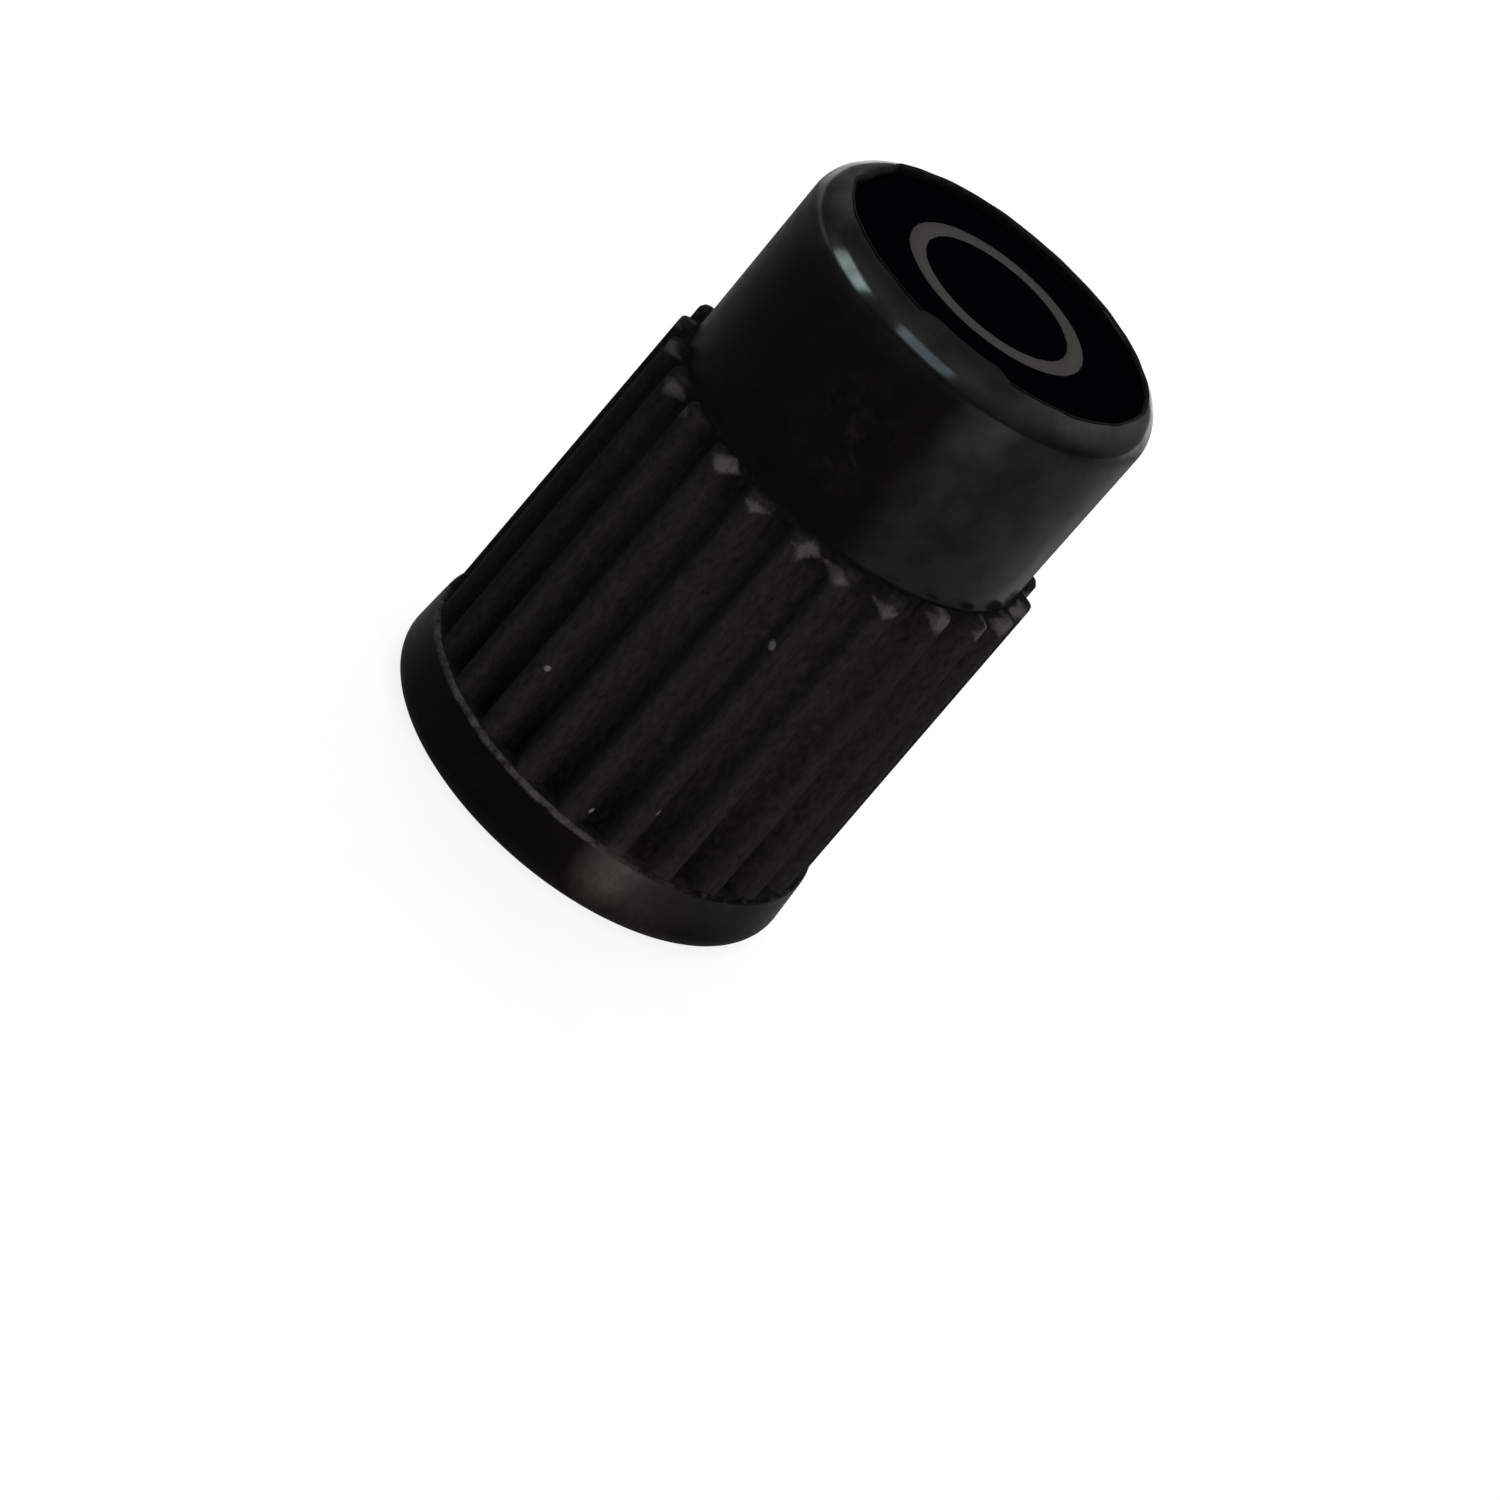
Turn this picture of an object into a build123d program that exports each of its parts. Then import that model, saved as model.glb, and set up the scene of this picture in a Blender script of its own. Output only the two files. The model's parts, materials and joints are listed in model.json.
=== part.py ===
"""Tyre valve cap: a ribbed plastic shell, a rubber sealing washer and an inlaid end disc.

Millimetres, +Z up. The cap stands on its open end: the origin is the middle of that end, and the
closed end is on top. Radii grow outwards and heights grow upwards from a few driving dimensions.
"""
import os

from build123d import *

# Threaded bore for the valve stem, a plain bore at the root of the fine thread
stem_thread_diameter = 7.75
thread_clearance = 0.075
bore_length = 8.8
mouth_depth = 1.0
mouth_relief = 0.3
mouth_chamfer = 0.3

# Closed end: seal groove, pocket for the valve core's pin, roof and seat of the end disc
seal_groove_depth = 0.2
seal_groove_height = 1.4
pin_pocket_diameter = 4.2
pin_pocket_depth = 2.1
roof_thickness = 2.2
disc_recess = 0.2
disc_thickness = 0.4
disc_clearance = 0.04

# Outside: band at the open end, ribbed grip with draft, smooth collar with a rounded rim
collar_wall = 0.76
root_step = 0.07
rib_count = 24
rib_height_at_band = 0.54
rib_height_at_shoulder = 0.39
rib_foot_width = 0.9
rib_crest_width = 0.4
rib_crest_round = 0.1
rib_end_chamfer = 0.28
band_ledge = 0.1
band_flare = 0.13
band_height = 1.75
grip_length = 9.0

# Edges of the band, and the rim, which rolls over from the collar to the edge of the disc's seat
foot_round = 0.5
ledge_chamfer = 0.08
rim_round = 0.9
lip_width = 0.64
lip_rise = 0.23

# Rubber washer, loose in its groove by the clearance
washer_clearance = 0.05

# Radii and heights that follow from the sizes above
bore_radius = stem_thread_diameter / 2 + thread_clearance
mouth_radius = bore_radius + mouth_relief
seal_groove_radius = bore_radius + seal_groove_depth
pin_pocket_radius = pin_pocket_diameter / 2
collar_radius = bore_radius + collar_wall
disc_seat_radius = collar_radius - lip_width
root_radius = collar_radius + root_step
crest_radius_at_band = root_radius + rib_height_at_band
crest_radius_at_shoulder = root_radius + rib_height_at_shoulder
band_top_radius = crest_radius_at_band + band_ledge
band_radius = band_top_radius + band_flare

bore_top = mouth_depth + bore_length
seal_top = bore_top + seal_groove_height
pocket_top = seal_top + pin_pocket_depth
disc_seat_height = pocket_top + roof_thickness
disc_top = disc_seat_height + disc_thickness
cap_height = disc_top + disc_recess
shoulder_height = band_height + grip_length


def revolved(points, rounds):
    """Turn a closed (radius, height) outline about Z, with the corners in rounds filleted."""
    outline = make_face(Plane.XZ * Polyline(points, close=True))
    for radius, height, size in rounds:
        corner = outline.vertices().sort_by_distance((radius, 0, height))[0]
        outline = fillet(corner, size)
    return revolve(outline, Axis.Z)


def shell_core():
    """The moulding without its ribs: band, root cylinder, collar, rim and everything bored into it."""
    outline = [
        (0, disc_seat_height),
        (disc_seat_radius, disc_seat_height),
        (disc_seat_radius, cap_height),
        (collar_radius, cap_height - lip_rise),
        (collar_radius, shoulder_height),
        (root_radius, shoulder_height),
        (root_radius, band_height),
        (band_top_radius - ledge_chamfer, band_height),
        (band_top_radius, band_height - ledge_chamfer),
        (band_radius, 0),
        (mouth_radius + mouth_chamfer, 0),
        (mouth_radius, mouth_chamfer),
        (mouth_radius, mouth_depth),
        (bore_radius, mouth_depth),
        (bore_radius, bore_top),
        (seal_groove_radius, bore_top),
        (seal_groove_radius, seal_top),
        (pin_pocket_radius, seal_top),
        (pin_pocket_radius, pocket_top),
        (0, pocket_top),
    ]
    rounds = [
        (band_radius, 0, foot_round),
        (collar_radius, cap_height - lip_rise, rim_round),
    ]
    return revolved(outline, rounds)


def below_shoulder():
    """Turned body up to the shoulder, whose upper edge chamfers the ends of the ribs."""
    flat_radius = crest_radius_at_shoulder - rib_end_chamfer
    outline = [
        (0, 0),
        (band_radius, 0),
        (band_radius, shoulder_height - (band_radius - flat_radius)),
        (flat_radius, shoulder_height),
        (0, shoulder_height),
    ]
    return revolved(outline, [])


def rib():
    """One rib on +X, drawn upwards along its draft and chamfered at the shoulder."""
    draft = rib_height_at_band - rib_height_at_shoulder
    along = Vector(-draft, 0, grip_length)
    across = Plane(origin=(root_radius, 0, band_height), x_dir=(grip_length, 0, draft), z_dir=along)
    flank_spread = (rib_foot_width - rib_crest_width) / rib_height_at_band
    sunk_depth = collar_wall / 2
    sunk_width = rib_foot_width + flank_spread * sunk_depth
    outline = Polyline(
        (-sunk_depth, -sunk_width / 2),
        (rib_height_at_band, -rib_crest_width / 2),
        (rib_height_at_band, rib_crest_width / 2),
        (-sunk_depth, sunk_width / 2),
        close=True,
    )
    section = make_face(outline)
    section = fillet(section.vertices().group_by(Axis.X)[-1], rib_crest_round)
    overlap = band_height / 2
    section = across * Pos(0, 0, -overlap) * section
    blank = extrude(section, along.length + 2 * overlap)
    return blank & below_shoulder()


def cap_shell():
    """The whole moulding in one piece, with the ribs spaced evenly round the grip."""
    one_rib = rib()
    return shell_core() + [place * one_rib for place in PolarLocations(0, rib_count)]


def sealing_washer():
    """Flat punched rubber ring in the seal groove, against the groove's upper face."""
    outer_radius = seal_groove_radius - washer_clearance
    bottom = bore_top + washer_clearance
    outline = [
        (pin_pocket_radius, bottom),
        (outer_radius, bottom),
        (outer_radius, seal_top),
        (pin_pocket_radius, seal_top),
    ]
    return revolved(outline, [])


def end_disc():
    """Thin disc that lies in its seat in the closed end, just below the lip round it."""
    disc = Cylinder(
        radius=disc_seat_radius - disc_clearance,
        height=disc_thickness,
        align=(Align.CENTER, Align.CENTER, Align.MIN),
    )
    return Pos(0, 0, disc_seat_height) * disc


os.makedirs("parts", exist_ok=True)
export_step(cap_shell(), "parts/cap_shell.step")
export_step(sealing_washer(), "parts/sealing_washer.step")
export_step(end_disc(), "parts/end_disc.step")
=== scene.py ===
"""Looks of the tyre valve cap: a moulded shell, its bore thread, the washer, the end disc and its print.

Lengths are in millimetres while a mesh is worked out, and every mesh is stored in metres.
Azimuths are in degrees about +Z, from +X. The cap stands on its open end on the floor.
"""

import json
import math
from collections import namedtuple

import bpy
import numpy as np
from mathutils import Matrix, Vector

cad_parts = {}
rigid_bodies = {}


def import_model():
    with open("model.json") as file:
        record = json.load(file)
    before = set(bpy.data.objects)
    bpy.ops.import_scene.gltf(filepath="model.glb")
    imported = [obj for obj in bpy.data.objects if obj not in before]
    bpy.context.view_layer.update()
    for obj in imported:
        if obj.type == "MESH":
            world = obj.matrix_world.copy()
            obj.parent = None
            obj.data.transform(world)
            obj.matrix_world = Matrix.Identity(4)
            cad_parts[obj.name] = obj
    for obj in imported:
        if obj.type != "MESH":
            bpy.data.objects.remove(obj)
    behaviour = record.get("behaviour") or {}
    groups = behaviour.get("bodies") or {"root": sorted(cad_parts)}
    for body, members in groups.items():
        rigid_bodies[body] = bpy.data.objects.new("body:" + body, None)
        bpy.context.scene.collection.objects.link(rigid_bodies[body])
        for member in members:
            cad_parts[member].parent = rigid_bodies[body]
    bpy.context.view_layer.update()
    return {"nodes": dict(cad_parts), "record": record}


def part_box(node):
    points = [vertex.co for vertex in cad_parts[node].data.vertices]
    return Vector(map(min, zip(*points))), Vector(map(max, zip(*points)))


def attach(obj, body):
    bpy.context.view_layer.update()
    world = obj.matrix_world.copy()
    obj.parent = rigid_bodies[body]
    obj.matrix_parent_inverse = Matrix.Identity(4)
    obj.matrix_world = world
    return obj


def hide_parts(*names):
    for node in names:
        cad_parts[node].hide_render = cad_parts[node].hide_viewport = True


MILLIMETRE = 0.001

for leftover in list(bpy.data.objects):
    bpy.data.objects.remove(leftover)

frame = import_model()


def millimetres(metres):
    """A length or a point of the frame in millimetres."""
    return metres / MILLIMETRE


# Sizes that the frame gives
bore_mount = next(mount for mount in frame["record"]["mounts"] if mount["name"] == "stem_thread")
bore_radius = bore_mount["dims"]["r_mm"]
bore_length = bore_mount["dims"]["length_mm"]
bore_middle = millimetres(bore_mount["pos_m"][2])
bore_foot = bore_middle - bore_length / 2
bore_top = bore_middle + bore_length / 2
disc_low, disc_high = (millimetres(corner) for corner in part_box("end_disc"))
washer_low, washer_high = (millimetres(corner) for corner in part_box("sealing_washer"))
_, shell_high = (millimetres(corner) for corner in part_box("cap_shell"))
disc_radius = disc_high.x
disc_top = disc_high.z
disc_seat_height = disc_low.z
washer_radius = washer_high.x
washer_foot = washer_low.z
seal_top = washer_high.z
cap_height = shell_high.z

# Sizes of the moulding, as in the part's source
disc_clearance = 0.04
collar_wall = 0.76
root_step = 0.07
rib_count = 24
rib_height_at_band = 0.54
rib_height_at_shoulder = 0.39
rib_foot_width = 0.9
rib_crest_width = 0.4
band_ledge = 0.1
band_flare = 0.13
band_height = 1.75
grip_length = 9.0
foot_round = 0.5
ledge_chamfer = 0.08
rim_round = 0.9
lip_rise = 0.23
mouth_relief = 0.3
mouth_chamfer = 0.3
seal_groove_depth = 0.2
pin_pocket_radius = 2.1
pin_pocket_depth = 2.1

# The band's skin lies this far inside the solid, whose flat facets cut its circle short
skin = 0.008

disc_seat_radius = disc_radius + disc_clearance
collar_radius = bore_radius + collar_wall
root_radius = collar_radius + root_step
band_top_radius = root_radius + rib_height_at_band + band_ledge
band_radius = band_top_radius + band_flare - skin
shoulder_height = band_height + grip_length
mouth_radius = bore_radius + mouth_relief
seal_groove_radius = bore_radius + seal_groove_depth
pocket_top = seal_top + pin_pocket_depth

# Softness that a worn mould gives to the ribs and to their blunt ends at the shoulder
crest_softness = 0.2
foot_softness = 0.16
rib_end_length = 0.16
rib_end_power = 0.55
rib_end_steepest = 89.0
fine_round = 0.05

# Inner corners at the shoulder and under the ribs, as shares of the step, the fine round and the ledge
shoulder_corner_out = 0.3
shoulder_corner_up = 0.2
rib_foot_corner = 0.3
ledge_corner_share = 0.2
ledge_margin_share = 0.4

# Fineness of the shell's mesh: columns, then rows down each part of it; the grip's rows crowd at its top
columns_per_rib = 24
bead_steps = 12
rim_steps = 24
collar_steps = 42
rib_end_steps = 14
grip_steps = 40
grip_crowding = 1.6
band_steps = 6
band_side_shares = (0.2, 0.9)
foot_steps = 10

# Edges between faces that turn by more than this stay sharp
crease_angle = 50.0

# The ribs are chipped near their ends and painted pale there as a highlight on the lit end faces: least and
# most drop below the shoulder, shift aside and reach
chip_highlight_drop = (0.12, 0.42)
chip_highlight_shift = (-0.6, 0.6)
chip_highlight_reach = (0.2, 0.45)
chip_highlight_strength = 1.2

# Painted shade darkens the grooves between the ribs, by height: most near the band, and again at the
# shoulder
groove_shade_heights = (band_height, 4.0, 7.5, 9.5, shoulder_height)
groove_shade_levels = (1.0, 0.45, 0.1, 0.2, 0.8)

# Lip of the closed end: a bead over the disc's edge, pushed inwards on two stretches by depth and azimuths
lip_gap_over_disc = 0.012
bead_angles = (-90.0, 100.0)
lip_bulges = [
    (0.28, (252.0, 259.0, 283.0, 289.0)),
    (0.20, (148.0, 160.0, 174.0, 186.0)),
]
lip_waves = ((7, 0.012), (17, 0.009), (31, 0.006))

# Gloss of the rim by height above the foot of its round: on the rubbed side it is brightest half way up
gloss_heights = (-0.45, 0.0, 0.12, 0.19, 0.23, 0.28, 0.5, 0.62, 0.75)
rubbed_gloss = (0.0, 0.04, 0.08, 0.14, 0.5, 1.0, 0.8, 0.5, 0.25)
plain_gloss = (0.0, 0.02, 0.03, 0.05, 0.08, 0.2, 0.6, 1.0, 1.0)
bead_gloss = 0.2

# Heights above that foot between which the polished edge sets in, the side's polish ends and matt sets in
edge_rise = (0.25, 0.5)
side_fall = (0.2, 0.4)
matt_rise = (0.3, 0.75)

# Stretches that hands have polished, by azimuths: the rim, its edge, and the side with a brighter strip
polished_rim = (202.0, 219.0, 288.0, 310.0)
polished_edge = (288.0, 320.0, 344.0, 358.0)
polished_side = (276.0, 290.0, 340.0, 356.0)
polished_strip = (276.0, 287.0, 291.0, 304.0)
side_polish = 0.14
strip_polish = 0.4

# The strip's share on the collar: at the shoulder, at this depth below the rim's foot, and at that foot
strip_depth = 1.2
strip_shares = (0.0, 0.25, 0.9)

# The band's polish is duller on one stretch, and its ledge is pale all round, from wear and a painted
# highlight, with more painted highlight on another stretch
duller_band = (310.0, 335.0, 356.0, 359.0)
band_dulling = 0.75
ledge_highlight_stretch = (160.0, 200.0, 266.0, 296.0)
ledge_wear_and_highlight = 0.32
ledge_painted_highlight = 0.33
inner_ledge_share = 0.3

# Rows over the ledge's edge: way outwards and down in chamfers, then shares of the pale wear with painted
# highlight and of the polish
ledge_edge_rows = [
    (0.0, 0.0, 1.0, 0.0),
    (0.55, 0.3, 1.0, 0.0),
    (0.9, 0.8, 1.0, 0.0),
    (1.0, 1.5, 0.8, 1.0),
    (1.0, 2.5, 0.0, 1.0),
]

# Share of the grip's matt, paler finish on the top of the rim where it isn't polished, and inside the cap
rim_grip = 0.7
inside_grip = 1.0

# Thread of the valve stem, 32 turns to the inch, with a slightly rounded crest and thin ends
thread_pitch = 25.4 / 32
thread_minor_radius = 3.45
thread_crest_width = 0.12
thread_crest_round = 0.03
thread_crest_start = 0.92
thread_root_width = 0.62
thread_sink = 0.02
thread_margin = 0.35
thread_run_out = 0.4
thread_end_rise = 0.08
thread_end_width = 0.3
thread_steps_per_turn = 72

# Washer, and the mark that the stem's mouth has pressed into it
washer_round = 0.08
washer_columns = 144
washer_edge_steps = 4
washer_face_steps = 40
imprint_radius = 3.15
imprint_half_width = 0.4
imprint_depth = 0.06
imprint_steepness = 6

# Ring printed on the end disc, and the waves round its edges
print_radius = 2.2
print_width = 0.45
print_thickness = 0.012
print_columns = 240
print_waves = (5, 11, 23, 41)
print_unevenness = 0.004
print_wave_shares = (0.3, 1.0)

# Floor just under the cap's foot
floor_gap = 0.01
floor_hole_margin = 0.06
floor_middle_radius = 40.0
floor_radius = 2000.0
floor_columns = 96

# The photograph's frame, 1500 pixels square, and where the cap stands in it
image_side = 1500
focal_length = 5000
sensor_side = 36.0
base_pixel_x = 585.7
base_pixel_y = 779.7
pixels_per_millimetre = 42.3
camera_azimuth = 267.0
camera_elevation = 26.28
camera_roll = 41.11

seed = 7

# One ring of the shell's points: radius and height, and the finish there, each a number or one per column
Row = namedtuple("Row", "radius height wear gloss grip groove", defaults=(0.0, 0.0, 0.0, 0.0))


def direction(azimuth, elevation):
    """Unit vector towards an azimuth and an elevation in degrees."""
    turn = math.radians(azimuth)
    rise = math.radians(elevation)
    return Vector((math.cos(rise) * math.cos(turn), math.cos(rise) * math.sin(turn), math.sin(rise)))


def around(azimuth, radius, height):
    """A point in metres from its azimuth in degrees and its radius and height in millimetres."""
    turn = math.radians(azimuth)
    return Vector((radius * math.cos(turn), radius * math.sin(turn), height)) * MILLIMETRE


def linked(name, data):
    """A new object in the scene that shows a mesh, a lamp or a camera."""
    thing = bpy.data.objects.new(name, data)
    bpy.context.scene.collection.objects.link(thing)
    return thing


def new_mesh(name, points, faces, material):
    """A mesh from points in millimetres."""
    mesh = bpy.data.meshes.new(name)
    mesh.from_pydata((np.asarray(points) * MILLIMETRE).tolist(), [], faces)
    mesh.materials.append(material)
    return mesh


def add_piece(name, points, faces, material):
    """A mesh piece in the frame, from points in millimetres, that moves with the cap."""
    mesh = new_mesh(name, points, faces, material)
    mesh.validate()
    mesh.shade_smooth()
    mesh.set_sharp_from_angle(angle=math.radians(crease_angle))
    piece = linked(name, mesh)
    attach(piece, "root")
    return piece


def store(piece, name, values):
    """Keeps a value for each point of a piece, for its material to read."""
    values = np.asarray(values, dtype=np.float32)
    piece.data.attributes.new(name, "FLOAT", "POINT").data.foreach_set("value", values)


def even_turns(columns):
    """Evenly spaced turns about the axis in radians."""
    return np.linspace(0.0, 2 * math.pi, columns, endpoint=False)


def ring(turns, radius, height):
    """Points of one row round the axis, at turns in radians."""
    height = np.broadcast_to(height, turns.shape)
    return np.stack([radius * np.cos(turns), radius * np.sin(turns), height], axis=-1)


def ring_faces(rows, columns, closed):
    """Quads between rows of points round the axis; closed joins the last row to the first."""
    faces = []
    for row in range(rows if closed else rows - 1):
        here = row * columns
        after = (row + 1) % rows * columns
        for column in range(columns):
            beside = (column + 1) % columns
            faces.append((here + column, after + column, after + beside, here + beside))
    return faces


def arc(before, corner, after, size, steps):
    """Points of the arc that rounds a corner of an outline, between the points before and after it."""
    before, corner, after = (np.array(place) for place in (before, corner, after))
    back = (before - corner) / np.linalg.norm(before - corner)
    ahead = (after - corner) / np.linalg.norm(after - corner)
    half = math.acos(back @ ahead) / 2
    inwards = (back + ahead) / np.linalg.norm(back + ahead)
    middle = corner + inwards * size / math.sin(half)
    first = corner + back * size / math.tan(half) - middle
    last = corner + ahead * size / math.tan(half) - middle
    turn = math.pi - 2 * half
    points = []
    for share in np.linspace(0.0, 1.0, steps + 1):
        parts = math.sin((1 - share) * turn), math.sin(share * turn)
        points.append(middle + (parts[0] * first + parts[1] * last) / math.sin(turn))
    return points


def smooth_lesser(first, second, softness):
    """The lesser of two values, with the corner between them rounded."""
    overlap = np.clip(softness - np.abs(first - second), 0.0, None)
    return np.minimum(first, second) - overlap**2 / (4 * softness)


def smooth_greater(first, second, softness):
    """The greater of two values, with the corner between them rounded."""
    return -smooth_lesser(-first, -second, softness)


def plateau(azimuths, rise_start, rise_end, fall_start, fall_end):
    """1 between two azimuths and 0 outside them, with a smooth rise and fall, all in degrees."""
    rise = np.clip((azimuths - rise_start) / (rise_end - rise_start), 0.0, 1.0)
    fall = np.clip((fall_end - azimuths) / (fall_end - fall_start), 0.0, 1.0)
    both = np.minimum(rise, fall)
    return both * both * (3 - 2 * both)


def from_crest(azimuths):
    """Angle to the nearest rib's crest in radians, and that rib's number."""
    pitch = 360.0 / rib_count
    rib = np.round(np.asarray(azimuths) / pitch)
    return np.radians(azimuths - rib * pitch), rib.astype(int) % rib_count


def rib_height(heights):
    """Height of the crests over the valleys, less towards the shoulder."""
    share = (heights - band_height) / grip_length
    return rib_height_at_band + (rib_height_at_shoulder - rib_height_at_band) * share


def rib_radius(azimuths, heights, fullness=1.0):
    """Radius of the ribbed grip: soft crests, sloping flanks and round valleys.

    A fullness below 1 shrinks the ribs, for their ends.
    """
    apart, _ = from_crest(azimuths)
    crest = root_radius + rib_height(heights) * fullness
    half_width = rib_crest_width / 2 * fullness
    lean = (rib_foot_width - rib_crest_width) / 2 / rib_height_at_band
    on_crest = crest / np.cos(apart)
    on_flank = (half_width + lean * crest) / (np.abs(np.sin(apart)) + lean * np.cos(apart))
    ridge = smooth_lesser(on_crest, on_flank, crest_softness * fullness)
    return smooth_greater(ridge, root_radius, foot_softness * fullness)


def painted_groove_shade(radii, heights):
    """How much painted shade a point of the grip gets by its depth between the crests."""
    depth = np.clip(1 - (radii - root_radius) / rib_height(heights), 0.0, 1.0)
    return depth**2 * np.interp(heights, groove_shade_heights, groove_shade_levels)


def rim_gloss(azimuths, rise):
    """Gloss of the rim at a height above the foot of its round, on the polished stretches and elsewhere."""
    share = plateau(azimuths, *polished_rim)
    shine = np.interp(rise, gloss_heights, rubbed_gloss)
    plain = np.interp(rise, gloss_heights, plain_gloss)
    edge = plateau(azimuths, *polished_edge) * np.interp(rise, edge_rise, (0.0, 1.0))
    return np.maximum(edge, share * shine + (1 - share) * plain)


def side_gloss(azimuths, strip_share):
    """Gloss of the collar and band on the polished side, where a strip is brighter by its share."""
    strip = strip_polish * strip_share * plateau(azimuths, *polished_strip)
    return strip + side_polish * plateau(azimuths, *polished_side)


def closed_end_rows(azimuths):
    """Rows from the floor of the disc's seat up its wall, over the lip's bead and down the rolled rim."""
    rng = np.random.default_rng(seed)
    lip_foot = disc_top + lip_gap_over_disc
    bead = (cap_height - lip_foot) / 2
    overhang = np.zeros_like(azimuths)
    for depth, stretch in lip_bulges:
        overhang += depth * plateau(azimuths, *stretch)
    for waves, size in lip_waves:
        phase = rng.uniform(0.0, 2 * math.pi)
        overhang += size * (1 + np.sin(np.radians(azimuths) * waves + phase))
    bead_middle = disc_seat_radius - overhang + bead
    rows = [Row(disc_seat_radius, disc_seat_height), Row(disc_seat_radius, lip_foot - fine_round)]
    for angle in np.radians(np.linspace(*bead_angles, bead_steps)):
        radii = bead_middle - bead * math.cos(angle)
        height = lip_foot + bead * (1 + math.sin(angle))
        rows.append(Row(radii, height, gloss=bead_gloss * max(0.0, math.sin(angle))))
    lip_edge = (disc_seat_radius, cap_height)
    rim_corner = (collar_radius, cap_height - lip_rise)
    rim = arc(lip_edge, rim_corner, (collar_radius, shoulder_height), rim_round, rim_steps)
    matt = rim_grip * (1 - plateau(azimuths, *polished_rim))
    for radius, height in rim:
        rise = height - rim[-1][1]
        side = side_gloss(azimuths, 1.0) * np.interp(rise, side_fall, (1.0, 0.0))
        gloss = np.maximum(side, rim_gloss(azimuths, rise))
        grip = matt * np.interp(rise, matt_rise, (0.0, 1.0))
        rows.append(Row(radius, height, gloss=gloss, grip=grip))
    return rows


def collar_rows(azimuths, rim_foot):
    """Rows down the smooth collar to the shoulder, on which the gloss of the rim and of the strip fades."""
    rows = []
    strip_heights = (shoulder_height, rim_foot - strip_depth, rim_foot)
    for height in np.linspace(rim_foot, shoulder_height + fine_round, collar_steps)[1:]:
        side = side_gloss(azimuths, np.interp(height, strip_heights, strip_shares))
        gloss = np.maximum(side, rim_gloss(azimuths, height - rim_foot))
        rows.append(Row(collar_radius, height, gloss=gloss))
    corner_radius = collar_radius + root_step * shoulder_corner_out
    rows.append(Row(corner_radius, shoulder_height + fine_round * shoulder_corner_up))
    return rows


def grip_outline():
    """Heights down a rib and its fullness there: round the blunt end, then straight down to the band."""
    end_foot = shoulder_height - rib_end_length
    foot = band_height + fine_round
    outline = []
    for angle in np.radians(np.linspace(rib_end_steepest, 0.0, rib_end_steps)):
        height = end_foot + rib_end_length * math.sin(angle) ** rib_end_power
        outline.append((height, math.cos(angle) ** rib_end_power))
    for share in np.linspace(0.0, 1.0, grip_steps)[1:] ** grip_crowding:
        outline.append((end_foot + (foot - end_foot) * share, 1.0))
    return outline


def grip_rows(azimuths):
    """Rows down the ribs, which are chipped near their ends and painted pale there as a highlight."""
    rng = np.random.default_rng(seed + 1)
    apart, rib = from_crest(azimuths)
    drop = rng.uniform(*chip_highlight_drop, rib_count)[rib]
    shift = rng.uniform(*chip_highlight_shift, rib_count)[rib]
    reach = rng.uniform(*chip_highlight_reach, rib_count)[rib]
    rows = [Row(root_radius, shoulder_height, grip=1.0, groove=groove_shade_levels[-1])]
    for height, fullness in grip_outline():
        radii = rib_radius(azimuths, height, fullness)
        below_chip_highlight = np.abs(shoulder_height - drop - height) / reach
        beside_chip_highlight = np.abs(apart * radii / rib_foot_width * 2 - shift)
        # pale chips at the rib ends: wear with a painted highlight
        chip_highlight = np.clip(chip_highlight_strength - beside_chip_highlight - below_chip_highlight, 0.0, 1.0)
        rows.append(Row(radii, height, wear=chip_highlight, grip=1.0, groove=painted_groove_shade(radii, height)))
    return rows


def ledge_rows(azimuths, polish):
    """Rows from the feet of the ribs over the ledge and its worn edge, painted pale as a highlight, to the
    top of the band.
    """
    rib_foot = rib_radius(azimuths, band_height)
    groove_shade = painted_groove_shade(rib_foot, band_height)
    # pale ledge edge: wear with a painted highlight, painted brighter on one stretch
    wear = ledge_wear_and_highlight + ledge_painted_highlight * plateau(azimuths, *ledge_highlight_stretch)
    ledge_edge = band_top_radius - ledge_chamfer
    ledge = ledge_edge - rib_foot
    corner = np.minimum(fine_round * rib_foot_corner, ledge * ledge_corner_share)
    margin = np.minimum(fine_round, ledge * ledge_margin_share)
    rows = [
        Row(rib_foot + corner, band_height + fine_round * rib_foot_corner, grip=1.0, groove=groove_shade),
        Row(rib_foot + margin, band_height, grip=1.0, groove=groove_shade),
        Row(ledge_edge - margin, band_height, wear=wear * inner_ledge_share, grip=1.0),
    ]
    for outwards, down, wear_and_highlight_share, polished in ledge_edge_rows:
        radius = ledge_edge + ledge_chamfer * outwards
        height = band_height - ledge_chamfer * down
        rows.append(Row(radius, height, wear=wear * wear_and_highlight_share, gloss=polish * polished))
    return rows


def band_rows(azimuths):
    """Rows over the ledge under the ribs and down the flared band to the foot ring."""
    polish = side_gloss(azimuths, 1.0) * (1 - band_dulling * plateau(azimuths, *duller_band))
    rows = ledge_rows(azimuths, polish)
    side_top = (band_top_radius, band_height - ledge_chamfer)
    mouth_edge = (mouth_radius + mouth_chamfer, 0.0)
    foot = arc(side_top, (band_radius, 0.0), mouth_edge, foot_round, foot_steps)
    for share in np.linspace(*band_side_shares, band_steps):
        radius, height = np.array(side_top) * (1 - share) + foot[0] * share
        rows.append(Row(radius, height, gloss=polish * (1 - share)))
    for share, (radius, height) in zip(np.linspace(0.0, 1.0, len(foot)), foot):
        rows.append(Row(radius, height, grip=inside_grip * share))
    return rows


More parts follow.
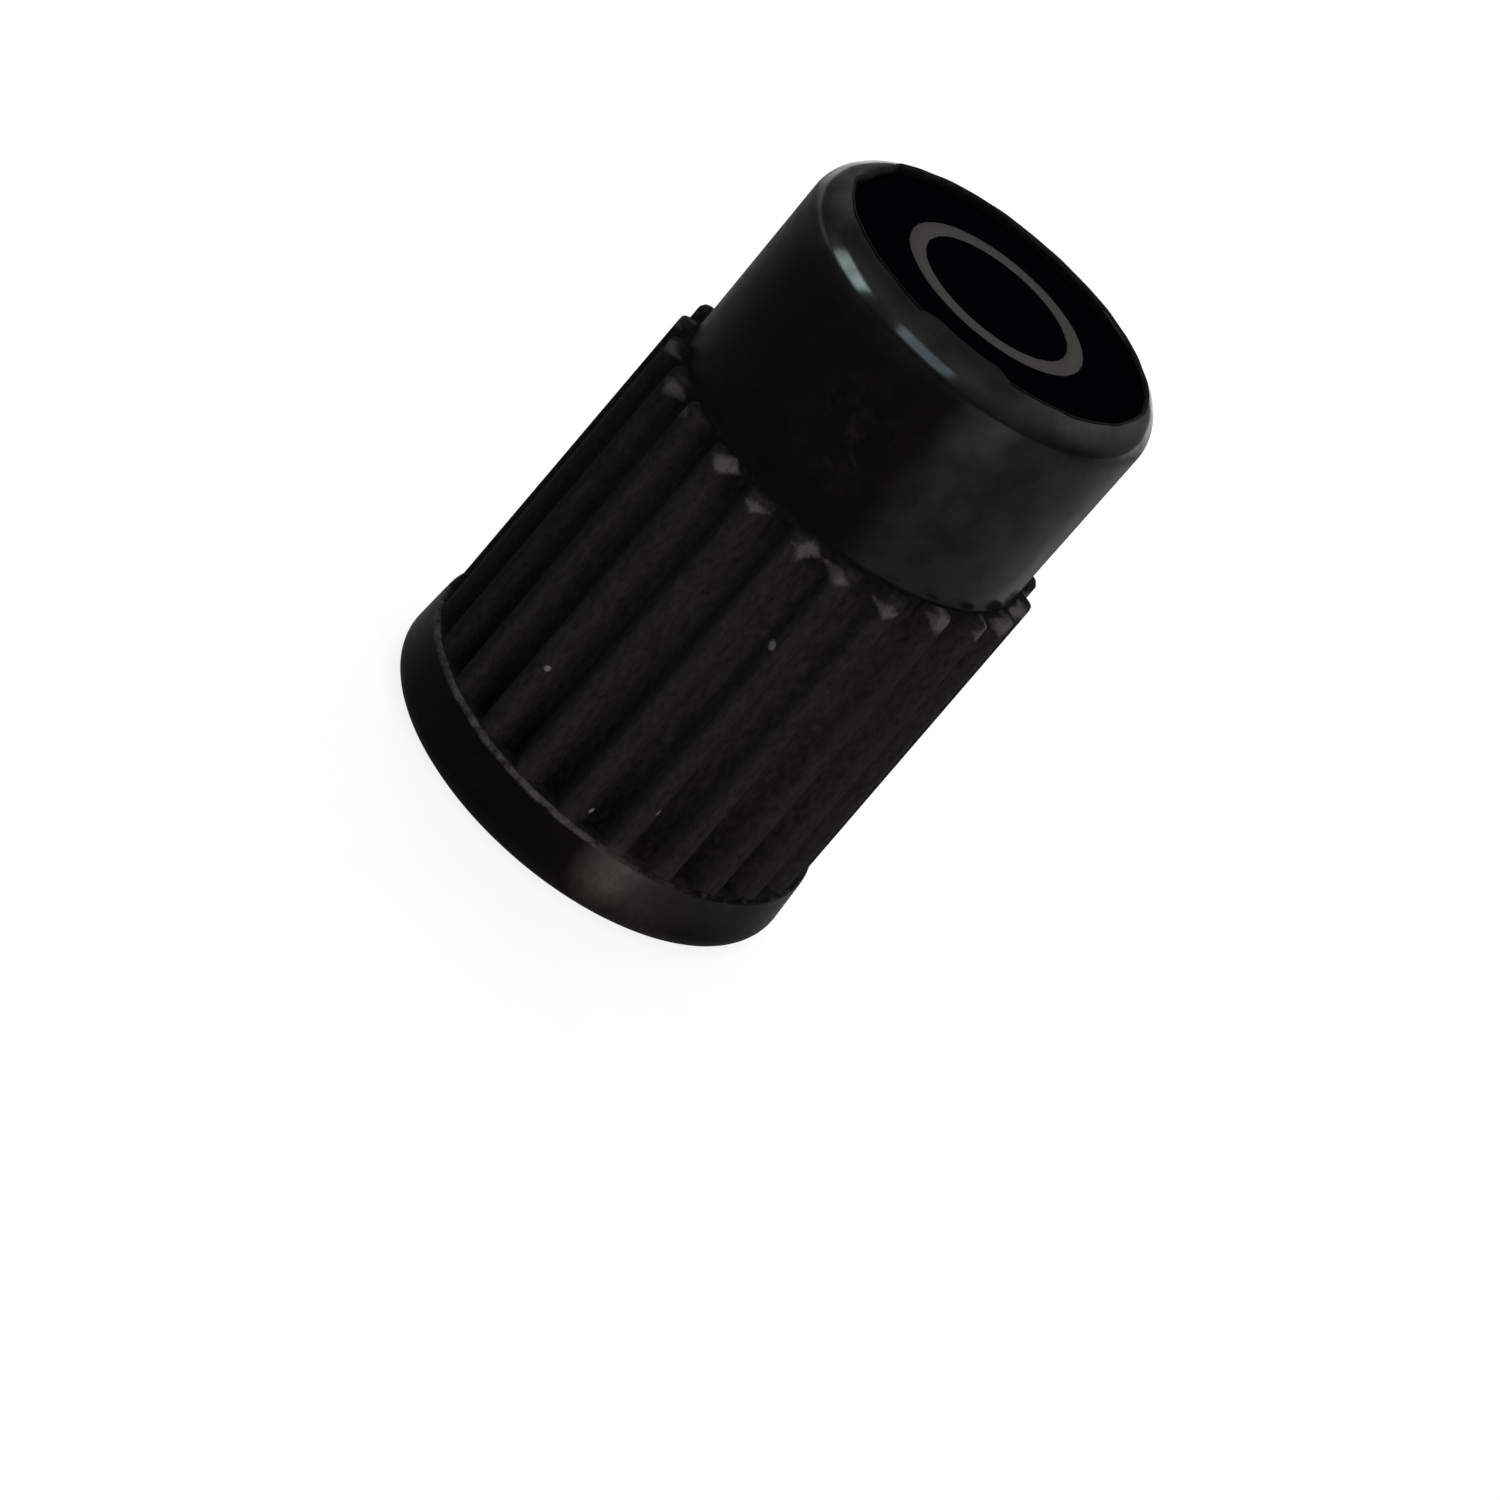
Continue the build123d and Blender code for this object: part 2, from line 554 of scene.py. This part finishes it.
def inside_rows():
    """Rows from the mouth up the bore, round the seal groove and up the pin pocket."""
    outline = [
        (mouth_radius + mouth_chamfer, 0.0),
        (mouth_radius, mouth_chamfer),
        (mouth_radius, bore_foot),
        (bore_radius, bore_foot),
        (bore_radius, bore_top),
        (seal_groove_radius, bore_top),
        (seal_groove_radius, seal_top),
        (pin_pocket_radius, seal_top),
        (pin_pocket_radius, pocket_top),
    ]
    return [Row(radius, height, grip=inside_grip) for radius, height in outline]


def moulded_shell(material):
    """The whole moulding as one closed mesh that stands for the plain solid."""
    columns = rib_count * columns_per_rib
    azimuths = np.arange(columns) * 360.0 / columns
    rows = closed_end_rows(azimuths)
    rows += collar_rows(azimuths, rows[-1].height)
    rows += grip_rows(azimuths)
    rows += band_rows(azimuths)
    rows += inside_rows()
    turns = np.radians(azimuths)
    rings = [ring(turns, row.radius, row.height) for row in rows]
    seat_middle = (0.0, 0.0, disc_seat_height)
    pocket_middle = (0.0, 0.0, pocket_top)
    points = np.vstack(rings + [[seat_middle, pocket_middle]])
    faces = ring_faces(len(rows), columns, closed=False)
    seat = len(rows) * columns
    last = seat - columns
    for column in range(columns):
        beside = (column + 1) % columns
        faces.append((seat, column, beside))
        faces.append((seat + 1, last + beside, last + column))
    piece = add_piece("cap_moulding", points, faces, material)
    for name in ("wear", "gloss", "grip", "groove"):
        values = np.zeros(len(points))
        values[:seat] = np.concatenate([np.broadcast_to(getattr(row, name), columns) for row in rows])
        store(piece, name, values)
    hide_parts("cap_shell")


def bore_thread(material):
    """Right-handed helical ridge in the bore, with a run-out at each end."""
    start = bore_foot + thread_margin
    turns = (bore_length - 2 * thread_margin) / thread_pitch
    steps = int(turns * thread_steps_per_turn)
    wall = bore_radius + thread_sink
    section = [
        (0.0, -thread_root_width / 2),
        (thread_crest_start, -thread_crest_width / 2 - thread_crest_round),
        (1.0, -thread_crest_width / 2 + thread_crest_round),
        (1.0, thread_crest_width / 2 - thread_crest_round),
        (thread_crest_start, thread_crest_width / 2 + thread_crest_round),
        (0.0, thread_root_width / 2),
    ]
    points = []
    for step in range(steps + 1):
        done = step / thread_steps_per_turn
        turn = 2 * math.pi * done
        fade = min(1.0, done / thread_run_out, (turns - done) / thread_run_out)
        fade = max(thread_end_rise, fade)
        width_share = thread_end_width + (1 - thread_end_width) * fade
        for rise, across in section:
            radius = wall - rise * fade * (wall - thread_minor_radius)
            height = start + done * thread_pitch + across * width_share
            points.append((radius * math.cos(turn), radius * math.sin(turn), height))
    width = len(section)
    faces = []
    for step in range(steps):
        here = step * width
        after = here + width
        for edge in range(width):
            beside = (edge + 1) % width
            faces.append((here + edge, here + beside, after + beside, after + edge))
    faces.append(tuple(range(width))[::-1])
    faces.append(tuple(steps * width + edge for edge in range(width)))
    piece = add_piece("bore_thread", points, faces, material)
    store(piece, "grip", np.full(len(points), inside_grip))


def washer_ring(material):
    """Rubber ring with soft edges, and the round mark of the stem's mouth pressed into its lower face."""
    outer_foot = (washer_radius, washer_foot)
    outer_top = (washer_radius, seal_top)
    inner_foot = (pin_pocket_radius, washer_foot)
    inner_top = (pin_pocket_radius, seal_top)
    face_start = washer_radius - 2 * washer_round
    face_end = pin_pocket_radius + 2 * washer_round
    outline = arc(inner_top, outer_top, outer_foot, washer_round, washer_edge_steps)
    outline += arc(outer_top, outer_foot, inner_foot, washer_round, washer_edge_steps)
    for radius in np.linspace(face_start, face_end, washer_face_steps):
        pressed = math.exp(-(((radius - imprint_radius) / imprint_half_width) ** imprint_steepness))
        outline.append((radius, washer_foot + imprint_depth * pressed))
    outline += arc(outer_foot, inner_foot, inner_top, washer_round, washer_edge_steps)
    outline += arc(inner_foot, inner_top, outer_top, washer_round, washer_edge_steps)
    turns = even_turns(washer_columns)
    points = np.vstack([ring(turns, radius, height) for radius, height in outline])
    faces = ring_faces(len(outline), washer_columns, closed=True)
    piece = add_piece("washer_ring", points, faces, material)
    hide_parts("sealing_washer")


def disc_print(material):
    """Thin ring of ink on the end disc, with the slightly uneven edge of a pad print."""
    rng = np.random.default_rng(seed + 2)
    turns = even_turns(print_columns)
    edges = []
    for side in (-1, 1):
        edge = np.full(print_columns, print_radius + side * print_width / 2)
        for waves in print_waves:
            size = print_unevenness * rng.uniform(*print_wave_shares)
            phase = rng.uniform(0.0, 2 * math.pi)
            edge += size * np.sin(waves * turns + phase)
        edges.append(edge)
    inner, outer = edges
    top = disc_top + print_thickness
    section = [
        (inner, disc_top),
        (inner + print_thickness, top),
        (outer - print_thickness, top),
        (outer, disc_top),
    ]
    points = np.vstack([ring(turns, radius, height) for radius, height in section])
    faces = ring_faces(len(section), print_columns, closed=True)
    add_piece("disc_print", points, faces, material)


# Finishes


def new_material(name):
    """A new node material, the tree to add to and its shader."""
    material = bpy.data.materials.new(name)
    material.use_nodes = True
    return material, material.node_tree, material.node_tree.nodes["Principled BSDF"]


def add_node(tree, kind, inputs=(), **settings):
    """A node with its settings, and its inputs set to a value or linked to another node's socket."""
    node = tree.nodes.new(kind)
    for name, value in settings.items():
        setattr(node, name, value)
    for place, value in dict(inputs).items():
        if isinstance(value, bpy.types.NodeSocket):
            tree.links.new(value, node.inputs[place])
        else:
            node.inputs[place].default_value = value
    return node


def maths(tree, operation, first, second=0.0):
    """A sum, product or the like of two values."""
    return add_node(tree, "ShaderNodeMath", {0: first, 1: second}, operation=operation).outputs[0]


def mapped(tree, value, span, onto=(0.0, 1.0)):
    """A value moved from its span onto another and held within that."""
    low, high = span
    to_low, to_high = onto
    inputs = {"Value": value, "From Min": low, "From Max": high, "To Min": to_low, "To Max": to_high}
    return add_node(tree, "ShaderNodeMapRange", inputs, clamp=True).outputs["Result"]


def mixed(tree, share, first, second):
    """A colour between two colours."""
    inputs = {0: share, 6: first, 7: second}
    return add_node(tree, "ShaderNodeMix", inputs, data_type="RGBA").outputs[2]


def between(tree, share, first, second):
    """A number between two numbers."""
    inputs = {0: share, 2: first, 3: second}
    return add_node(tree, "ShaderNodeMix", inputs, data_type="FLOAT").outputs[0]


def grey(level, warmth=0.0):
    """A grey of that level, a little warmer or cooler."""
    return (level * (1 + warmth), level, level * (1 - warmth), 1.0)


def place_in_millimetres(tree):
    """The surface's place on the cap in millimetres."""
    coordinates = add_node(tree, "ShaderNodeTexCoord")
    inputs = {0: coordinates.outputs["Object"], "Scale": 1 / MILLIMETRE}
    return add_node(tree, "ShaderNodeVectorMath", inputs, operation="SCALE").outputs[0]


def stretched(tree, place, across, along):
    """A place with the scale changed across the axis and along it."""
    inputs = {0: place, 1: (across, across, along)}
    return add_node(tree, "ShaderNodeVectorMath", inputs, operation="MULTIPLY").outputs[0]


def noise(tree, place, swells, detail=3.0, roughness=0.55):
    """Grey noise with that many swells to the millimetre."""
    inputs = {"Vector": place, "Scale": swells, "Detail": detail, "Roughness": roughness}
    return add_node(tree, "ShaderNodeTexNoise", inputs).outputs["Fac"]


def mask(tree, name):
    """One of the values stored on the mesh's points."""
    return add_node(tree, "ShaderNodeAttribute", attribute_name=name).outputs["Fac"]


def nearness(tree, place, centre, inner, outer):
    """1 near a centre in metres, falling to 0 between an inner and an outer distance in millimetres."""
    inputs = {0: place, 1: centre / MILLIMETRE}
    distance = add_node(tree, "ShaderNodeVectorMath", inputs, operation="DISTANCE").outputs["Value"]
    return mapped(tree, distance, (inner, outer), (1.0, 0.0))


def bumped(tree, shader, height, strength, distance):
    """Gives a shader relief from a height, as deep as the distance in millimetres."""
    inputs = {"Strength": strength, "Distance": distance * MILLIMETRE, "Height": height}
    bump = add_node(tree, "ShaderNodeBump", inputs)
    tree.links.new(bump.outputs["Normal"], shader.inputs["Normal"])


# Colours of the moulding: darkest and palest black of its smooth and its grained surfaces, then its marks,
# among them painted shade and painted highlights
smooth_blacks = (grey(0.0036), grey(0.0056, 0.04))
grained_blacks = (grey(0.0115), grey(0.022))
groove_shade_black = grey(0.0035)
painted_highlight_grey = grey(0.055, 0.16)
wear_and_highlight_grey = grey(0.075, 0.02)
scuff_grey = grey(0.013, 0.03)
dust_grey = grey(0.16)

# Finish of the moulding: reflection and roughness, then relief as shares of the grip's grain
plain_reflection = 0.009
coat_roughness = 0.15
dust_roughness = 0.9
smooth_grain = 0.1
scuff_depth = 0.5
dust_height = 3.0

# Dust grains that lie on the grip: azimuth, height and radius
dust_grains = [
    (281.9, 8.15, 0.15),
    (242.5, 3.98, 0.10),
    (207.5, 2.12, 0.10),
    (288.0, 3.12, 0.11),
    (274.8, 2.05, 0.10),
    (96.0, 6.30, 0.07),
    (31.0, 3.70, 0.05),
    (150.0, 8.80, 0.06),
]
# Scuffed places on the collar: azimuth, height and reach, full within the core
scuffs = [
    (263.0, 13.1, 1.7),
    (118.0, 13.6, 0.9),
]
scuff_core = 0.2
# Places on the band painted pale as a warm highlight: azimuth, height, reach and strength, full within the
# core
painted_band_highlights = [
    (288.0, 1.1, 1.0, 1.0),
    (298.0, 0.9, 1.6, 0.3),
]
highlight_core = 0.1


def shell_wear_and_highlight(tree, place):
    """Ragged pale wear with a painted highlight at the ends of the ribs and on the ledge."""
    ragged = mapped(tree, noise(tree, place, 4.0, detail=5.0, roughness=0.7), (0.3, 0.7), (0.5, 1.5))
    return mapped(tree, maths(tree, "MULTIPLY", mask(tree, "wear"), ragged), (0.3, 0.8))


def shell_scuff(tree, place):
    """Curly scratches, broken up into patches, within the scuffed places."""
    swirl = noise(tree, place, 1.2, detail=2.0, roughness=0.6)
    off_line = maths(tree, "ABSOLUTE", maths(tree, "SUBTRACT", swirl, 0.5))
    patches = mapped(tree, noise(tree, place, 2.6, detail=5.0, roughness=0.65), (0.42, 0.65))
    scratches = maths(tree, "MULTIPLY", mapped(tree, off_line, (0.0, 0.08), (1.0, 0.0)), patches)
    scuffed = 0.0
    for azimuth, height, reach in scuffs:
        near = nearness(tree, place, around(azimuth, collar_radius, height), scuff_core, reach)
        scuffed = maths(tree, "MAXIMUM", scuffed, near)
    return maths(tree, "MULTIPLY", scuffed, scratches)


def painted_band_highlight(tree, place, mottle):
    """Mottled pale painted highlight on the band."""
    shine = 0.0
    for azimuth, height, reach, strength in painted_band_highlights:
        near = nearness(tree, place, around(azimuth, band_top_radius, height), highlight_core, reach)
        shine = maths(tree, "MAXIMUM", shine, maths(tree, "MULTIPLY", near, strength))
    return maths(tree, "MULTIPLY", shine, mapped(tree, mottle, (0.3, 0.7), (0.5, 1.0)))


def shell_dust(tree, place):
    """Dust grains on the grip."""
    dust = 0.0
    for azimuth, height, size in dust_grains:
        surface = around(azimuth, rib_radius(azimuth, height), height)
        spot = nearness(tree, place, surface, size / 2, size)
        dust = maths(tree, "MAXIMUM", dust, spot)
    return dust


def shell_plastic():
    """Black moulded plastic: smooth sides, a grained grip, polished places, painted shade in the grooves,
    pale edges of wear and painted highlight, a painted highlight on the band, scuffs and dust.
    """
    material, tree, shader = new_material("shell_plastic_moulded")
    place = place_in_millimetres(tree)
    grip = mask(tree, "grip")
    clouds = noise(tree, place, 1.4, detail=4.0)
    mottle = noise(tree, stretched(tree, place, 1.0, 0.5), 6.5, detail=4.0, roughness=0.65)
    grain = noise(tree, place, 22.0, roughness=0.6)
    scuff = shell_scuff(tree, place)
    dust = shell_dust(tree, place)
    # painted shade in the grooves between the ribs
    groove_shade = maths(tree, "MULTIPLY", mask(tree, "groove"), mapped(tree, mottle, (0.35, 0.65), (1.2, 0.8)))

    smooth_black = mixed(tree, mapped(tree, clouds, (0.35, 0.65)), *smooth_blacks)
    grained_black = mixed(tree, mapped(tree, mottle, (0.35, 0.65)), *grained_blacks)
    # the grooves are darkened with painted shade
    grained_black = mixed(tree, groove_shade, grained_black, groove_shade_black)
    colour = mixed(tree, grip, smooth_black, grained_black)
    # painted warm highlight on the band
    colour = mixed(tree, painted_band_highlight(tree, place, mottle), colour, painted_highlight_grey)
    # pale wear with a painted highlight on the rib ends and the ledge
    colour = mixed(tree, shell_wear_and_highlight(tree, place), colour, wear_and_highlight_grey)
    colour = mixed(tree, scuff, colour, scuff_grey)
    colour = mixed(tree, dust, colour, dust_grey)
    tree.links.new(colour, shader.inputs["Base Color"])

    smooth_roughness = mapped(tree, clouds, (0.3, 0.7), (0.42, 0.52))
    grained_roughness = mapped(tree, mottle, (0.3, 0.7), (0.75, 0.9))
    roughness = between(tree, grip, smooth_roughness, grained_roughness)
    roughness = maths(tree, "MAXIMUM", roughness, maths(tree, "MULTIPLY", dust, dust_roughness))
    tree.links.new(roughness, shader.inputs["Roughness"])
    shader.inputs["Specular IOR Level"].default_value = plain_reflection
    gloss = maths(tree, "MULTIPLY", mask(tree, "gloss"), mapped(tree, clouds, (0.35, 0.65), (0.7, 1.2)))
    tree.links.new(gloss, shader.inputs["Coat Weight"])
    shader.inputs["Coat Roughness"].default_value = coat_roughness

    grain_height = maths(tree, "MULTIPLY", grain, between(tree, grip, smooth_grain, 1.0))
    relief = maths(tree, "SUBTRACT", grain_height, maths(tree, "MULTIPLY", scuff, scuff_depth))
    relief = maths(tree, "ADD", relief, maths(tree, "MULTIPLY", dust, dust_height))
    bumped(tree, shader, relief, strength=0.5, distance=0.012)
    return material


def washer_rubber():
    """Soft black rubber with a dull, slightly powdery skin."""
    material, tree, shader = new_material("washer_rubber_moulded")
    place = place_in_millimetres(tree)
    powder = mapped(tree, noise(tree, place, 2.5, detail=6.0), (0.4, 0.7))
    tree.links.new(mixed(tree, powder, grey(0.012), grey(0.024, 0.03)), shader.inputs["Base Color"])
    tree.links.new(mapped(tree, powder, (0.0, 1.0), (0.6, 0.8)), shader.inputs["Roughness"])
    shader.inputs["Specular IOR Level"].default_value = 0.3
    bumped(tree, shader, noise(tree, place, 12.0), strength=0.4, distance=0.02)
    return material


def disc_black():
    """Deep black of the end disc, with a faint cool cast and a few paler flecks."""
    material, tree, shader = new_material("disc_black")
    place = place_in_millimetres(tree)
    flecks = mapped(tree, noise(tree, place, 5.0, detail=6.0, roughness=0.7), (0.6, 0.72), (0.0, 0.35))
    deep = (0.0008, 0.0010, 0.0015, 1.0)
    tree.links.new(mixed(tree, flecks, deep, grey(0.006)), shader.inputs["Base Color"])
    roughness = mapped(tree, noise(tree, place, 3.0), (0.3, 0.7), (0.35, 0.5))
    tree.links.new(roughness, shader.inputs["Roughness"])
    shader.inputs["Specular IOR Level"].default_value = 0.0
    return material


def print_ink():
    """Matt grey ink with a slightly uneven coat."""
    material, tree, shader = new_material("print_ink")
    place = place_in_millimetres(tree)
    coat = mapped(tree, noise(tree, place, 6.0, detail=5.0), (0.3, 0.7))
    tree.links.new(mixed(tree, coat, grey(0.038, 0.03), grey(0.050, 0.05)), shader.inputs["Base Color"])
    tree.links.new(mapped(tree, coat, (0.0, 1.0), (0.5, 0.65)), shader.inputs["Roughness"])
    shader.inputs["Specular IOR Level"].default_value = 0.1
    return material


# Stage

white = (1.0, 1.0, 1.0)
floor_greys = (grey(0.24), grey(0.26))
floor_glow = 0.84
horizon_level = 0.13
zenith_level = 0.7


def background_rays(tree):
    """1 for the rays that see the background itself or show it in gloss or glass, 0 for the others."""
    path = add_node(tree, "ShaderNodeLightPath")
    seen = maths(tree, "MAXIMUM", path.outputs["Is Camera Ray"], path.outputs["Is Glossy Ray"])
    return maths(tree, "MAXIMUM", seen, path.outputs["Is Transmission Ray"])


def floor_paper():
    """Pale paper that looks white and keeps a soft shadow, and lets the view from below through."""
    material, tree, shader = new_material("floor_paper")
    place = place_in_millimetres(tree)
    fibre = mapped(tree, noise(tree, place, 0.8, detail=4.0), (0.3, 0.7))
    tree.links.new(mixed(tree, fibre, *floor_greys), shader.inputs["Base Color"])
    shader.inputs["Roughness"].default_value = 0.9
    shader.inputs["Specular IOR Level"].default_value = 0.0
    shader.inputs["Emission Color"].default_value = (*white, 1.0)
    glow = maths(tree, "MULTIPLY", background_rays(tree), floor_glow)
    tree.links.new(glow, shader.inputs["Emission Strength"])
    from_below = add_node(tree, "ShaderNodeNewGeometry").outputs["Backfacing"]
    clear = add_node(tree, "ShaderNodeBsdfTransparent")
    inputs = {0: from_below, 1: shader.outputs["BSDF"], 2: clear.outputs["BSDF"]}
    both = add_node(tree, "ShaderNodeMixShader", inputs)
    tree.links.new(both.outputs["Shader"], tree.nodes["Material Output"].inputs["Surface"])
    return material


def add_floor():
    """Round floor under the cap, open under the bore so that light from below reaches into it."""
    turns = even_turns(floor_columns)
    hole_radius = mouth_radius + mouth_chamfer + floor_hole_margin
    radii = (hole_radius, floor_middle_radius, floor_radius)
    points = np.vstack([ring(turns, radius, -floor_gap) for radius in radii])
    faces = ring_faces(len(radii), floor_columns, closed=False)
    floor = linked("floor", new_mesh("floor", points, faces, floor_paper()))


def add_world():
    """Plain studio that is dim at the horizon and pale overhead."""
    world = bpy.data.worlds.new("studio")
    world.use_nodes = True
    tree = world.node_tree
    towards = add_node(tree, "ShaderNodeTexCoord").outputs["Generated"]
    rise = add_node(tree, "ShaderNodeSeparateXYZ", {0: towards}).outputs["Z"]
    strength = mapped(tree, maths(tree, "MULTIPLY", rise, rise), (0.0, 1.0), (horizon_level, zenith_level))
    tree.links.new(strength, tree.nodes["Background"].inputs["Strength"])
    tree.nodes["Background"].inputs["Color"].default_value = (*white, 1.0)
    bpy.context.scene.world = world


def add_lamp(name, azimuth, elevation, distance, width, height, radiance, colour):
    """A rectangular lamp aimed at the cap, with lengths in metres and the brightness of its face."""
    lamp = bpy.data.lights.new(name, "AREA")
    lamp.shape = "RECTANGLE"
    lamp.size = width
    lamp.size_y = height
    lamp.color = colour
    lamp.energy = radiance * math.pi * width * height
    rig = linked(name, lamp)
    back = direction(azimuth, elevation)
    aim = Vector((0.0, 0.0, cap_height * MILLIMETRE))
    facing = (-back).to_track_quat("-Z", "Y").to_matrix().to_4x4()
    rig.matrix_world = Matrix.Translation(aim + back * distance) @ facing
    return rig


def add_lamps():
    """A soft box behind the cap and a warm panel fill; two windows show only in gloss, as streaks."""
    back_softbox = add_lamp(
        "back_softbox", azimuth=87.0, elevation=50.0, distance=0.45,
        width=0.40, height=0.40, radiance=2.2, colour=white,
    )
    warm_panel = add_lamp(
        "warm_panel", azimuth=300.0, elevation=14.0, distance=0.40,
        width=0.30, height=0.15, radiance=6.2, colour=(1.0, 0.92, 0.82),
    )
    left_window = add_lamp(
        "left_window", azimuth=194.0, elevation=15.0, distance=0.30,
        width=0.150, height=0.150, radiance=5.6, colour=(0.80, 1.0, 0.96),
    )
    front_window = add_lamp(
        "front_window", azimuth=257.0, elevation=27.0, distance=0.30,
        width=0.190, height=0.140, radiance=2.2, colour=(0.78, 0.93, 1.0),
    )
    for rig in (back_softbox, warm_panel):
        rig.visible_glossy = False
    for rig in (left_window, front_window):
        rig.visible_diffuse = False


def add_camera():
    """The photograph's view: from above the rim's near side, with the cap leaning to the right."""
    turn = math.radians(camera_azimuth)
    roll = math.radians(camera_roll)
    back = direction(camera_azimuth, camera_elevation)
    level = Vector((-math.sin(turn), math.cos(turn), 0.0))
    upright = back.cross(level)
    right = level * math.cos(roll) + upright * math.sin(roll)
    up = upright * math.cos(roll) - level * math.sin(roll)
    distance = focal_length / pixels_per_millimetre
    aside = (base_pixel_x - image_side / 2) / focal_length * distance
    below = (base_pixel_y - image_side / 2) / focal_length * distance
    place = (back * distance - right * aside + up * below) * MILLIMETRE
    lens = bpy.data.cameras.new("camera")
    lens.sensor_width = sensor_side
    lens.lens = focal_length / image_side * sensor_side
    lens.clip_start = 0.005
    lens.clip_end = 10.0
    camera = linked("camera", lens)
    axes = Matrix((right, up, back)).transposed().to_4x4()
    camera.matrix_world = Matrix.Translation(place) @ axes
    bpy.context.scene.camera = camera


def dress(node, material):
    """Gives a CAD node's own mesh a finish."""
    for place in frame["nodes"][node].material_slots:
        place.material = material


plastic = shell_plastic()
moulded_shell(plastic)
bore_thread(plastic)
washer_ring(washer_rubber())
dress("end_disc", disc_black())
disc_print(print_ink())
add_floor()
add_world()
add_lamps()
add_camera()
bpy.context.scene.view_settings.view_transform = "Standard"
